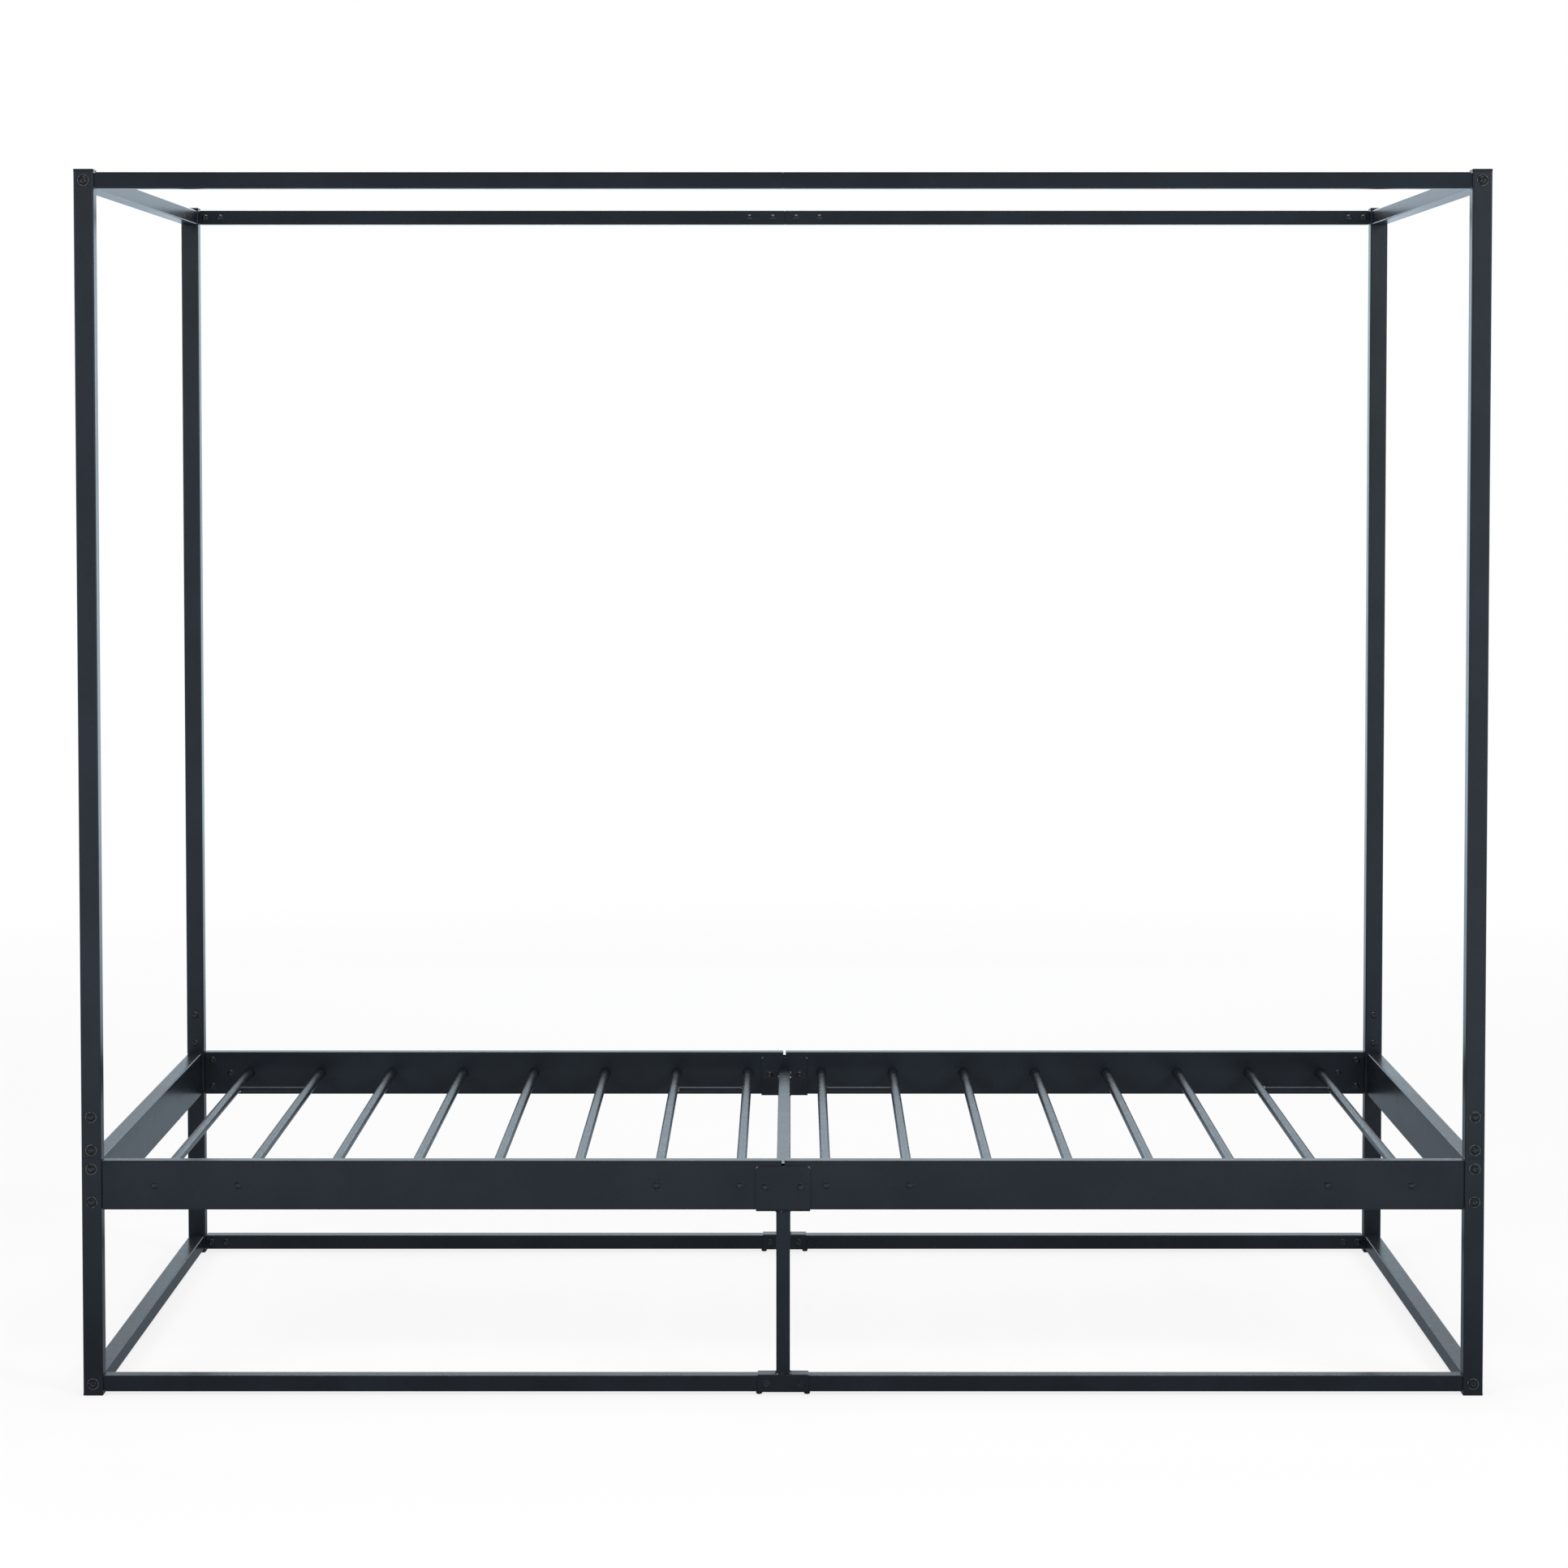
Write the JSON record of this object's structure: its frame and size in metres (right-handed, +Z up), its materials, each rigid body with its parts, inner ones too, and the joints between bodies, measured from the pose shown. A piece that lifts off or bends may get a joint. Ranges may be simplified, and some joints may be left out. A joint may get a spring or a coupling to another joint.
{
  "type": "four poster canopy bed",
  "caption": "Bolted steel-tube platform bed with tall posts, an open canopy frame, round tube slats, a braced middle support and a low base frame.",
  "frame": {"origin": "centre of the footprint, on the floor", "axes": "+X to the right along the bed, +Y from the front long side to the rear one, +Z up"},
  "size_m": [1.9866, 1.0484, 1.734],
  "materials": {
    "powder_coat": "satin graphite black powder coat on steel tube",
    "slat_coat": "satin graphite black powder coat on round slat tube",
    "cap_plastic": "moulded black plastic, fine grain",
    "glide_rubber": "black rubber glide",
    "black_hardware": "glossy black plated steel fasteners"
  },
  "bodies": {
    "root": {"leg_front_left": "powder_coat", "leg_front_right": "powder_coat", "leg_rear_left": "powder_coat", "leg_rear_right": "powder_coat", "post_front_left": "powder_coat", "post_front_right": "powder_coat", "post_rear_left": "powder_coat", "post_rear_right": "powder_coat", "canopy_rail_front_left": "powder_coat", "canopy_rail_front_right": "powder_coat", "canopy_rail_rear_left": "powder_coat", "canopy_rail_rear_right": "powder_coat", "side_rail_front_left": "powder_coat", "side_rail_front_right": "powder_coat", "side_rail_rear_left": "powder_coat", "side_rail_rear_right": "powder_coat", "base_rail_front_left": "powder_coat", "base_rail_front_right": "powder_coat", "base_rail_rear_left": "powder_coat", "base_rail_rear_right": "powder_coat", "canopy_end_rail_left": "powder_coat", "canopy_end_rail_right": "powder_coat", "wide_end_rail_left": "powder_coat", "wide_end_rail_right": "powder_coat", "base_end_rail_left": "powder_coat", "base_end_rail_right": "powder_coat", "rail_clamp_front": "powder_coat", "rail_clamp_rear": "powder_coat", "middle_leg_front": "powder_coat", "middle_leg_rear": "powder_coat", "base_sleeve_front": "powder_coat", "base_sleeve_rear": "powder_coat", "post_joiners": "powder_coat", "wide_rail_stubs": "powder_coat", "thin_rail_stubs": "powder_coat", "canopy_joiners": "powder_coat", "slat_pair_1": "slat_coat", "slat_pair_2": "slat_coat", "slat_pair_3": "slat_coat", "slat_pair_4": "slat_coat", "slat_3": "slat_coat", "slat_4": "slat_coat", "slat_5": "slat_coat", "slat_6": "slat_coat", "slat_11": "slat_coat", "slat_12": "slat_coat", "slat_13": "slat_coat", "slat_14": "slat_coat", "cross_bar": "slat_coat", "post_caps": "cap_plastic", "foot_caps": "cap_plastic", "base_glides": "glide_rubber", "end_rail_bolts": "black_hardware", "through_bolts": "black_hardware", "sleeve_nuts": "black_hardware", "slat_bolts": "black_hardware", "rail_screws": "black_hardware", "washers": "black_hardware"}
  },
  "joints": []
}
